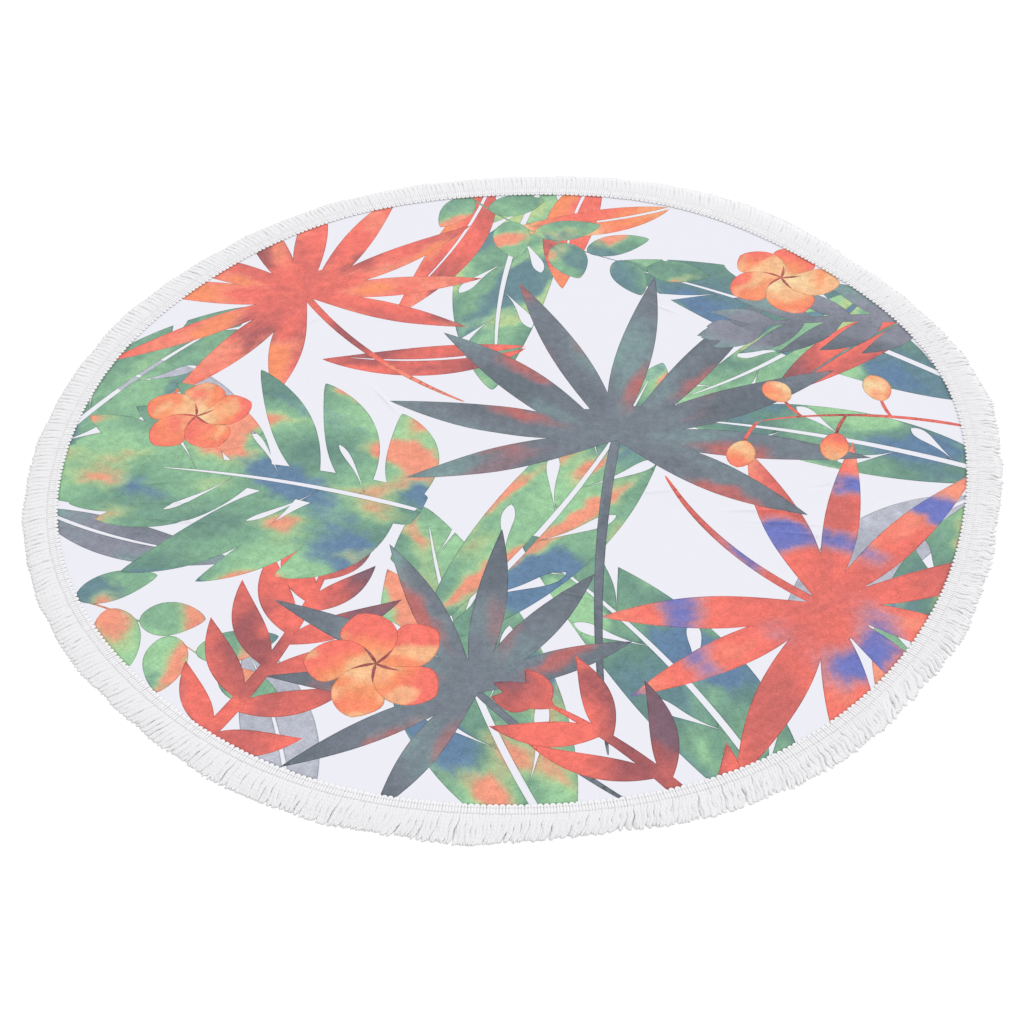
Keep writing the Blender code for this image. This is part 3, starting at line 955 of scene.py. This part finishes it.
# ---- the heading braid
LOOPS = 542  # yarn loops along the heading's inner edge
YARN_PITCH = math.tau / (2 * LOOPS)
HEADING_BASE = 0.0021
YARN_OUTER, YARN_INNER = 0.7062, 0.6936  # the straight legs of the loops run between these radii
GROOVES = ((0.6955, 1.0), (0.7045, 0.7))  # where stitches press the yarns down: radius and share of the depth
GROOVE_WIDTH = 0.0013
BAND_SECTION = np.array([
    # radius, height over the heading's base
    (0.6935, 0.0000), (0.6950, 0.0007), (0.6990, 0.0010),
    (0.7035, 0.0009), (0.7072, 0.0005), (0.7078, 0.0000),
])
STITCH_ROWS = (
    # radius, slant, length of a stitch, height of its ends over the heading's base
    (0.6957, 0.35, 0.0044, 0.0016),
    (0.7046, -0.35, 0.0046, 0.0013),
)
STITCH_BULGE = 0.0003
THREAD_HALF = 0.00055  # half the stitching thread's thickness


def heading_reach(radius, angle):
    """Radius of a place on the heading, as it is sewn on: its outer edge moves with its inner one only where
    that lies further out, so that it always hides the panel's edge."""
    shift = trim_shift(angle)
    share = np.clip((YARN_OUTER - radius) / (YARN_OUTER - YARN_INNER), 0.0, 1.0)
    return radius + outline(angle) + np.maximum(shift, 0.0) + share * np.minimum(shift, 0.0)


def make_heading_band(material):
    """The heading's tape: a crowned band under the yarns, its section carried round the rim."""
    angle = np.linspace(0.0, math.tau, 360, endpoint=False)
    radius = heading_reach(BAND_SECTION[:, 0], angle[:, None])
    points = from_polar(radius, angle[:, None], HEADING_BASE + BAND_SECTION[:, 1])
    count = len(BAND_SECTION)
    j, k = np.indices((len(angle), count))
    following, after = (j + 1) % len(angle), (k + 1) % count
    quads = np.stack([following * count + k, following * count + after, j * count + after, j * count + k], -1)
    return new_piece("heading_band", points.reshape(-1, 3), [quads.reshape(-1, 4)], [material])


def make_heading_loops(material):
    """The heading's yarns: each comes in from the fringe, turns back in a small loop at the inner edge and
    goes out again. Stitches press it down at two places."""
    shares = np.array([0.0, 0.10, 0.22, 0.34, 0.42, 0.455, 0.48, 0.50])
    shares = np.concatenate([shares, 1.0 - shares[-2::-1]])
    chance = np.random.default_rng(5)
    middle = math.tau * (np.arange(LOOPS) + 0.5) / LOOPS
    turn = np.clip((shares - 0.42) / 0.16, 0.0, 1.0) * math.pi
    straight = np.clip(np.minimum(shares, 1.0 - shares) / 0.42, 0.0, 1.0)
    half = YARN_PITCH / 2 * PRINT_RADIUS
    radius = YARN_OUTER + (YARN_INNER - YARN_OUTER) * straight - half * 1.25 * np.sin(turn)
    depth = sum(share * np.exp(-(((radius - place) / GROOVE_WIDTH) ** 2)) for place, share in GROOVES)
    height = HEADING_BASE + 0.0013 - 0.0002 * depth - 0.0006 * np.sin(turn)
    jitter = chance.uniform(-0.0003, 0.0003, (LOOPS, 2))
    reach = heading_reach(radius, middle[:, None]) + jitter[:, :1] * np.sin(turn)
    angle = middle[:, None] + (jitter[:, 1:] - half * np.cos(turn)) / reach
    across = np.broadcast_to(0.00204 - 0.00006 * depth, reach.shape)
    upright = np.broadcast_to(0.0009 - 0.0001 * depth, reach.shape)
    return new_yarns("heading_loops", (from_polar(reach, angle, height), across, upright), 8, material)


def make_stitches(material):
    """Two rows of chain stitches across the heading's yarns: one short slanting loop of thread on each."""
    t = np.linspace(-0.5, 0.5, 5)
    middle = (np.arange(2 * LOOPS) + 0.5) * YARN_PITCH
    rows = []
    for radius, slant, length, ends in STITCH_ROWS:
        reach = heading_reach(radius, middle)[:, None] + slant * t * 0.0030
        angle = middle[:, None] + t * length / radius
        height = HEADING_BASE + ends + STITCH_BULGE * np.cos(math.pi * t)
        rows.append(from_polar(reach, angle, height))
    paths = np.concatenate(rows)
    width = np.broadcast_to(THREAD_HALF * np.array([0.5, 0.9, 1.0, 0.9, 0.5]), paths.shape[:2])
    return new_yarns("heading_stitches", (paths, width, width), 6, material)


# ---- the fringe
STRANDS = 2 * LOOPS
STATIONS = 17  # cross-sections along a strand
FRINGE_ROOT = 0.7045
FLATNESS = 0.60  # a strand's height against its width: soft yarn, pressed flat

Layer = namedtuple("Layer", "name seed offset shorter root_height belly half_width sides")
LAYERS = (
    # the offset is in strands; shorter says by how much the strands are shorter, belly how high they bulge
    Layer("fringe_upper", 17, 0.5, 0.0015, 0.0014, 0.0014, 0.0023, 8),
    Layer("fringe_lower", 29, 0.0, 0.0, 0.0, 0.0001, 0.0024, 6),
)


def ring_wave(angle, table):
    """Sum of sine waves round the rim, from rows of waves to the round, size and phase."""
    return sum(size * np.sin(waves * angle + phase) for waves, size, phase in table)


COMBED = np.array([
    # place round the rim and the strands' lean there, anticlockwise in degrees, and their extra length in mm
    (5, -4, 2), (15, 4, -5), (25, 12, -8), (36, 21, -1), (46, 22, 14), (56, 21, 13), (66, 17, 4), (80, 6, 1),
    (110, 0, -5), (140, 8, -5), (150, -11, -1), (163, -10, -5), (180, -2, -4), (202, 11, -4), (214, -3, -1),
    (226, -18, -1), (244, 8, 3), (256, -17, 2), (264, -4, 6), (276, -26, -4), (290, -14, 0), (305, -4, 1),
    (315, -32, 3), (324, -8, 3), (334, 16, 0), (343, 8, -2), (352, -5, 0),
])


def combed(angle):
    """Lean of the strands at some places round the rim, in radians, and their extra length."""
    places, leans, extra = COMBED.T
    lean, longer = (np.interp(np.degrees(angle), places, row, period=360.0) for row in (leans, extra))
    return np.radians(lean), longer / 1000


def strand_shapes(layer):
    """Paths, half widths and half heights of one layer's strands. Each leaves the heading, leans with its
    neighbours, sways a little, is drawn towards the middle of its lock, winds part of a turn round the other
    leg of its loop, and comes down on the floor at its thinner tip. The front right is the most uneven."""
    chance = np.random.default_rng(layer.seed)
    locks = np.repeat(np.arange(STRANDS), chance.integers(2, 6, STRANDS))[:STRANDS]
    root = (np.arange(STRANDS) + layer.offset) * YARN_PITCH
    sums = np.bincount(locks, root, STRANDS) / np.maximum(np.bincount(locks, minlength=STRANDS), 1)
    uneven = 0.20 + 0.60 * (0.5 + 0.5 * np.cos(root + 0.70)) ** 3
    pull = chance.uniform(0.0, 0.55, STRANDS)[locks] * uneven**2
    pair = np.arange(STRANDS) // 2
    lean, longer = combed(root)
    lean += ring_wave(root, ((41, 0.035, 1.2), (67, 0.03, 5.0))) * (0.3 + uneven)
    lean += chance.normal(0.0, 0.09, STRANDS)[locks] * uneven**2
    lean += chance.normal(0.0, 1.0, STRANDS)[pair] * (0.010 + 0.045 * uneven**2)
    start = FRINGE_ROOT + np.maximum(trim_shift(root), 0.0)
    length = TIP_RADIUS - start + longer - layer.shorter
    length += ring_wave(root, ((29, 0.0010, 0.2), (53, 0.0008, 2.5)))
    length += chance.normal(0.0, 1.0, STRANDS) * (0.0004 + 0.0007 * uneven)
    length += chance.normal(0.0, 0.0014, STRANDS)[locks] * uneven
    t = np.linspace(0.0, 1.0, STATIONS)
    leg = np.where(np.arange(STRANDS) % 2, 1.0, -1.0)[:, None]
    phase = ring_wave(root, ((31, 1.2, 0.3), (73, 0.9, 1.9))) + chance.normal(0.0, 0.3, STRANDS)[pair]
    waves = chance.uniform(1.2, 1.6, STRANDS)[pair] * (1.0 + 0.5 * uneven)
    sway = np.sin(math.tau * waves[:, None] * t + phase[:, None]) * smooth(0.0, 0.3, t)
    turns = 0.06 + 0.13 * uneven + chance.normal(0.0, 1.0, STRANDS)[pair] * (0.04 + 0.15 * uneven)
    winding = math.tau * turns[:, None] * smooth(0.1, 0.9, t)
    apart = YARN_PITCH / 2 * PANEL_RADIUS
    side = length[:, None] * np.sin(lean)[:, None] * t**1.25 + sway * (0.0005 + 0.0008 * uneven)[:, None]
    side += (sums[locks] - root)[:, None] * PANEL_RADIUS * pull[:, None] * smooth(0.1, 1.0, t)
    side += leg * apart * ((1.0 - 0.22 * smooth(0.0, 0.4, t)) * np.cos(winding) - 1.0)
    reach = (start + outline(root))[:, None] + length[:, None] * np.cos(lean)[:, None] * t
    bulge = layer.belly + chance.normal(0.0, 0.0003, STRANDS)[pair][:, None]
    height = layer.root_height * (1.0 - t) ** 2 + bulge * np.sin(math.pi * t**0.8) ** 0.8
    flat_half = layer.half_width * FLATNESS * (1.0 - 0.75 * smooth(0.70, 1.0, t))
    height = flat_half + np.maximum(height + leg * 0.0006 * np.sin(winding), 0.0)
    paths = from_polar(reach, root[:, None] + side / reach, height)
    gathered = np.minimum(1.0, 0.75 + 0.7 * t)
    broad = layer.half_width * (1.32 - 0.14 * uneven) * chance.uniform(0.92, 1.10, STRANDS)
    across = broad[:, None] * gathered * (1.0 - 0.50 * smooth(0.80, 1.0, t))
    return paths, across, np.broadcast_to(flat_half * gathered, across.shape)


def make_fringe(material):
    """The fringe's strands, each layer in two pieces: the far half of the round and the near one."""
    pieces = []
    shapes = [strand_shapes(layer) for layer in LAYERS]
    for part, half in (("far", slice(None, LOOPS)), ("near", slice(LOOPS, None))):
        for layer, shape in zip(LAYERS, shapes):
            own = [rows[half] for rows in shape]
            pieces.append(new_yarns(f"{layer.name}_{part}", own, layer.sides, material))
    return pieces


# ---- putting it together
make_camera()
make_studio()
pile = make_pile_group()
yarn = make_yarn_group()
print_material = make_print_material(pile)
back_material = make_back_material(pile)
# the numbers: twist length, depth of the relief, tone of the body, and where along it the painted light
# towards the tip begins
heading_yarn = make_yarn_material("heading_yarn", yarn, pile, 0.0050, 0.0002, 1.0, 1.0)
fringe_yarn = make_yarn_material("fringe_yarn", yarn, pile, 0.0060, 0.0003, 0.955, 0.030)

cloth = make_cloth(design(), print_material, back_material)
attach(cloth, "root")
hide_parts("printed_panel")

band = make_heading_band(back_material)
loops = make_heading_loops(heading_yarn)
stitches = make_stitches(heading_yarn)
for piece in (band, loops, stitches):
    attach(piece, "root")
    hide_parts("heading_braid")

strands = make_fringe(fringe_yarn)
for piece in strands:
    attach(piece, "root")
    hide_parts("fringe")
